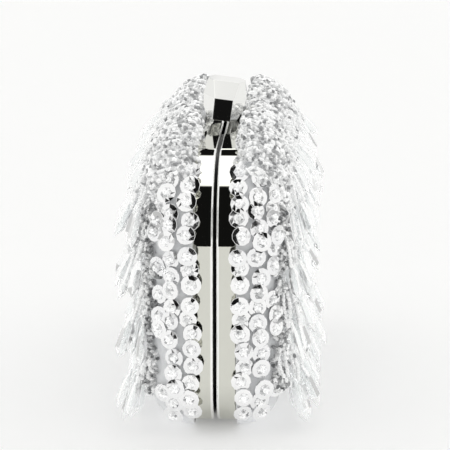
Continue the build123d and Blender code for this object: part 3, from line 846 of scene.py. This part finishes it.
def scattered(run_range, across_range, pitch):
    """Jittered (run, across) pairs filling a patch."""
    runs = np.arange(run_range[0], run_range[1], pitch)
    acrosses = np.arange(across_range[0], across_range[1], pitch)
    run, across = (g.ravel() for g in np.meshgrid(runs, acrosses))
    run = run + random.uniform(-0.5, 0.5, len(run)) * pitch
    return run, across + random.uniform(-0.5, 0.5, len(across)) * pitch


def loops_on(run, across, lift, side, straightness, lengths, heights):
    """Loops at the given places, heading away from the parting the more for straightness (0-1)."""
    place, normal, along = skin(run, across, lift, side)
    outward = np.cross(normal, along) * side
    turn = random.normal(0, 1.0, len(run)) * (1 - straightness)
    heading = outward * np.cos(turn)[:, None] + along * np.sin(turn)[:, None]
    length = random.uniform(*lengths, len(run))
    height = random.uniform(*heights, len(run))
    return bead_loops(place, normal, unit(heading), length, height)


def crust_thickness(run, across):
    """How thick the crust of loops is: most beside the frame, thinner outwards and at the clasp."""
    out = np.clip((across - CRUST_FROM) / CRUST_THINS_OVER, 0, 1)
    beside_clasp = np.clip((np.abs(run) - CLASP_HALF_GAP) / CLASP_FADE, 0, 1)
    ends = np.clip((run_to_height(END_HEIGHT) - np.abs(run)) / END_FADE, 0, 1)
    share = THINNEST_CRUST + (1 - THINNEST_CRUST) * beside_clasp * ends
    return (CRUST_TOP - (CRUST_TOP - CRUST_OUT) * out) * share


def shoulder_beads():
    """The crust of bead loops over each half's top and upper corners."""
    reach = run_to_height(CRUST_LOWEST)
    for name, side in SIDES.items():
        pieces = [crust_layer(share, reach, side) for share in CRUST_LAYERS]
        pieces.append(edge_loops(side))
        made = mesh_object(f"{name}_shoulder_loops", *joined(pieces), SEED_GLASS, smooth=False)
        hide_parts(f"{name}_shoulder_beads")
        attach(made, f"{name}_half")


def crust_layer(share, reach, side):
    """One layer of the crust's loops, lifted by its share of the crust's thickness."""
    run, across = scattered((-reach, reach), (CRUST_FROM, CRUST_TO), LOOP_PITCH)
    slant = np.clip(across - CRUST_FROM, 0, CRUST_EDGE_REACH) * CRUST_EDGE_SLANT
    keep = np.abs(run) < np.minimum(run_to_height(CRUST_EDGE_HEIGHT) + slant, reach)
    run, across = run[keep], across[keep]
    thick = crust_thickness(run, across)
    heights = [part * thick.mean() for part in CRUST_LOOP_HEIGHTS]
    return loops_on(run, across, thick * share, side, CRUST_STRAIGHTNESS, LOOP_LENGTHS, heights)


def edge_loops(side):
    """Loops that lean in over the frame, along the top on both sides of the clasp."""
    reach = run_to_height(EDGE_LOOPS_LOWEST)
    run = np.arange(-reach, reach, EDGE_LOOP_PITCH)
    run = run[np.abs(run) > EDGE_LOOPS_CLASP_GAP]
    count = len(run)
    run = run + random.uniform(-EDGE_LOOP_JITTER, EDGE_LOOP_JITTER, count)
    across = random.uniform(*EDGE_LOOPS_ACROSS, count)
    lift = random.uniform(*EDGE_LOOP_LIFTS, count)
    place, normal, along = skin(run, across, lift, side)
    turn = random.normal(0, EDGE_LOOP_TURN, count)[:, None]
    inward = np.array([[0.0, -side, 0.0]])
    heading = unit(inward * np.cos(turn) + along * np.sin(turn))
    length = random.uniform(*EDGE_LOOP_LENGTHS, count)
    height = random.uniform(*EDGE_LOOP_HEIGHTS, count)
    return bead_loops(place, normal, heading, length, height)


def corner_beads():
    """Loops down each rounded corner, between the sequins and the fringe."""
    highest = run_to_height(CORNER_HIGHEST)
    lowest = run_to_height(BOTTOM_CORNER_RADIUS) + CORNER_ROUND_BOTTOM
    for name, side in SIDES.items():
        pieces = []
        for end in (1, -1):
            run, across = scattered((highest, lowest), CORNER_ACROSS, LOOP_PITCH)
            lift = np.full(len(run), CORNER_LIFT)
            pieces.append(loops_on(
                end * run, across, lift, side, CORNER_STRAIGHTNESS, LOOP_LENGTHS, CORNER_HEIGHTS
            ))
        # The corner loops carry the glass painted mostly dark, as the shadow beside the fringe's
        # edge.
        made = mesh_object(f"{name}_corner_loops", *joined(pieces), SHADED_CORNER_GLASS, smooth=False)
        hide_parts(f"{name}_corner_beads")
        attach(made, f"{name}_half")


# ---- Fringe ----


def strand_beads(top, bottom):
    """Seed beads along straight strands from each top to its bottom."""
    span = bottom - top
    longest = np.linalg.norm(span, axis=1).max()
    steps = int(longest / (BEAD_DIAMETER * STRAND_BEAD_STEP))
    share = (np.arange(steps) + 0.5) / steps
    sag = np.sin(share * math.pi)[None, :, None] * random.normal(0, STRAND_SAG, (len(top), 1, 3))
    centres = top[:, None] + span[:, None] * share[None, :, None] + sag
    holes = np.repeat(span[:, None], steps, 1) + random.normal(0, STRAND_BEAD_TURN, centres.shape)
    return seed_beads(centres.reshape(-1, 3), holes.reshape(-1, 3))


def fringe():
    """Every tier of bead strands, with the clear drops among their ends."""
    for name, side in SIDES.items():
        tiers = zip(TIER_LEANS[name], TIER_STRANDS, TIER_DROPS)
        for tier, (lean, strand, drop) in enumerate(tiers, start=1):
            sewn = joint_named(f"{name}_fringe_swing_{tier}")["pos_m"]
            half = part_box(f"{name}_fringe_{tier}")[1].x + TIER_OVERHANG
            top, away = hanging(sewn, half, STRAND_PITCH, side, lean, STRAND_SPREAD)
            lengths = strand * random.uniform(*STRAND_LENGTHS, (len(top), 1))
            hang_strands(name, tier, top, top + away * lengths)
            top, away = hanging(sewn, half, DROP_PITCH, side, lean, DROP_SPREAD)
            start = top + away * strand * random.uniform(*DROP_STARTS, (len(top), 1))
            hang_drops(name, tier, start, away, drop)


def hanging(sewn, half, pitch, side, lean, spread):
    """Places along a tier's sewn line, and the ways that strands hang from them, in two layers."""
    xs = np.arange(-half, half, pitch)
    count = len(xs)
    xs = xs + random.uniform(-STRAND_JITTER, STRAND_JITTER, count) * pitch
    layer = np.arange(count) % 2
    sway = np.clip(random.normal(0, 1, count), -WIDEST_SWAY, WIDEST_SWAY)
    tilt = np.radians(lean + np.take(LAYER_LEANS, layer) + spread * sway)
    splay = random.normal(0, SPLAY_RANDOM, count)
    splay = splay + SPLAY_OUTWARDS * xs / half + SPLAY_ENDS * (xs / half) ** SPLAY_ENDS_POWER
    away = unit(np.stack([splay, side * np.sin(tilt), -np.cos(tilt)], 1))
    top_y = sewn[1] + side * (LAYER_OFFSET + LAYER_STEP * layer)
    return np.stack([xs, top_y, np.full(count, sewn[2])], 1), away


def hang_strands(name, tier, top, bottom):
    """One tier's bead strands: two beside each other at every place, wavering."""
    beside = np.array([[STRAND_HALF_GAP, 0.0, 0.0]])
    pieces = [strand_beads(top + beside, bottom), strand_beads(top - beside, bottom)]
    made = mesh_object(f"{name}_strands_{tier}", *joined(pieces), FRINGE_GLASS, smooth=True)
    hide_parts(f"{name}_fringe_{tier}")
    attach(made, f"{name}_tier_{tier}")


def hang_drops(name, tier, start, away, drop_length):
    """One tier's slim clear drops, each hanging on from a strand nearly in line with it."""
    count = len(start)
    away = unit(away + random.uniform(-DROP_SWING, DROP_SWING, (count, 3)))
    axes = frames_from(-away, random.uniform(0, math.tau, count))
    lengths = drop_length * random.uniform(*DROP_LENGTHS, count)
    lengths = np.minimum(lengths, (start[:, 2] - DROP_CLEARANCE) / -away[:, 2])
    widths = DROP_WIDTH * random.uniform(*DROP_WIDTHS, count)
    sizes = np.stack([widths, widths * DROP_THICKNESS, lengths], 1)
    drops = copies(DROP, start, axes, sizes)
    made = mesh_object(f"{name}_crystal_drops_{tier}", *drops, DROP_CRYSTAL, smooth=False)
    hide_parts(f"{name}_drops_{tier}")
    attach(made, f"{name}_tier_{tier}")


# ---- CAD pieces that keep their shape ----


STEEL_NODES = (
    "clasp_stem", "latch_hook", "latch_housing", "housing_rivets", "strike_plate",
    "strike_rivets", "hinge_leaf_back", "hinge_leaf_front", "hinge_pin",
    "hinge_rivets_back", "hinge_rivets_front",
)


def dress(node, material):
    """Gives a CAD node's object a new material."""
    made = frame["nodes"][node]
    made.data.materials.clear()
    made.data.materials.append(material)


def dress_cad():
    """Gives each CAD piece that stays in sight its material."""
    for node in ("back_frame", "front_frame"):
        dress(node, FRAME_CHROME)
    for node in ("back_shell", "front_shell"):
        dress(node, SHELL_BOARD)
    # The closing lip is painted nearly black, as the shade in the parting gap.
    dress("closing_lip", PARTING_SHADE_STRIP)
    dress("clasp_knob", CLASP_CHROME)
    for node in STEEL_NODES:
        dress(node, STEEL)


def spring():
    """The latch's spring, which stands in its housing."""
    cad = frame["nodes"]["latch_spring"]
    made = bpy.data.objects.new("coil_spring", cad.data.copy())
    made.matrix_world = cad.matrix_world
    bpy.context.scene.collection.objects.link(made)
    made.data.materials.clear()
    made.data.materials.append(SPRING_STEEL)
    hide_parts("latch_spring")
    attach(made, "back_half")
    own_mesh(made)


# ---- Studio ----


def sky():
    """A white tent seen by direction, with dark gaps ahead, behind and to the sides, and a softbox.

    Directions are told by their turn in the plane of the bag's length, in degrees from +X over
    the top, and by how far they point sideways.
    """
    world = bpy.data.worlds.new("studio")
    bpy.context.scene.world = world
    n = Nodes(world, "Background")
    direction = n.add("ShaderNodeTexCoord").outputs["Generated"]
    x, y, z = n.add("ShaderNodeSeparateXYZ", {"Vector": direction}).outputs
    sideways = n.calc("ABSOLUTE", y)
    turn = n.calc("MULTIPLY", n.calc("ARCTAN2", z, x), 180 / math.pi)

    def patch(across, sides, turns):
        return n.calc("MULTIPLY", n.between(across, *sides), n.between(turn, *turns))

    flanks = n.calc("MULTIPLY", n.above(sideways, *FLANK_EDGE), n.between(z, *FLANK_HEIGHTS))
    dark = n.calc("MULTIPLY", flanks, FLANK_SHADE)
    dark = n.calc("ADD", dark, patch(y, AHEAD_SIDES, AHEAD_TURNS))
    dark = n.calc("ADD", dark, patch(y, BEHIND_SIDES, BEHIND_TURNS))
    dark = n.calc("ADD", dark, patch(sideways, FLAG_SIDES, FLAG_TURNS))
    dark = n.calc("MULTIPLY", n.calc("MINIMUM", dark, 1.0), GAP_DARKNESS)
    softbox = n.calc("MULTIPLY", patch(y, SOFTBOX_SIDES, SOFTBOX_TURNS), SOFTBOX_EXTRA)
    lit = n.calc("ADD", TENT_LEVEL, softbox)
    n.set(Strength=n.calc("MULTIPLY", lit, n.calc("SUBTRACT", 1.0, dark)), Color=TENT_COLOUR)


def floor():
    """A pale tabletop that ends well in front of the bag, and doesn't glow beneath it, which paints
    the bag's shadow there.

    It clears wherever a piece is under it, so that the opened half, which swings down past the
    height of the table, stays in sight.
    """
    n = new_nodes("floor_paper")
    place = n.objects_place()
    grain = n.noise(place, scale=80.0, detail=2.0)
    footprint = n.stretched(place, (1 / HALF_LENGTH, 1 / HALF_DEPTH, 0.0))
    reach = n.add("ShaderNodeVectorMath", {0: footprint}, operation="LENGTH").outputs["Value"]
    # Painted shadow: the table's glow fades to nothing under and around the bag.
    painted_glow = n.spread(reach, 0.0, FLOOR_GLOW, *PAINTED_FLOOR_SHADOW_REACH, "SMOOTHSTEP")
    n.set(Base_Color=n.blend(grain, (0.63, 0.63, 0.625, 1), (0.66, 0.66, 0.655, 1)))
    n.set(Roughness=0.7, Emission_Color=WHITE, Emission_Strength=painted_glow)
    below = n.add("ShaderNodeAmbientOcclusion", {"Distance": BELOW_DEPTH}, inside=True, samples=8)
    n.set(Alpha=n.spread(below.outputs["AO"], 0.0, 1.0, *BELOW_OPEN))
    low, high, end = -TABLE_HALF_WIDTH, TABLE_HALF_WIDTH, TABLE_END_X
    points = np.array([(low, low, 0), (end, low, 0), (end, high, 0), (low, high, 0)])
    triangles = np.array([(0, 1, 2), (0, 2, 3)])
    made = mesh_object("studio_floor", points, triangles, n.owner, smooth=False)
    made.location.z = -TABLE_DROP


def camera():
    """The camera, looking at the bag's +X end from a little above and just off its axis."""
    data = bpy.data.cameras.new("camera")
    made = bpy.data.objects.new("camera", data)
    bpy.context.scene.collection.objects.link(made)
    bpy.context.scene.camera = made
    azimuth, elevation = math.radians(CAMERA_AZIMUTH), math.radians(CAMERA_ELEVATION)
    away = Vector((
        math.sin(azimuth) * math.cos(elevation),
        -math.cos(azimuth) * math.cos(elevation),
        math.sin(elevation),
    ))
    made.location = Vector(CAMERA_TARGET) + away * CAMERA_DISTANCE
    made.rotation_mode = "QUATERNION"
    made.rotation_quaternion = (-away).to_track_quat("-Z", "Y")
    data.lens = CAMERA_LENS
    data.sensor_width = CAMERA_SENSOR
    data.clip_start = 0.01


scene = bpy.context.scene
scene.view_settings.view_transform = "Standard"
scene.view_settings.look = "None"

dress_cad()
covers()
linings()
pocket()
sequins()
shoulder_beads()
corner_beads()
fringe()
spring()
sky()
floor()
camera()
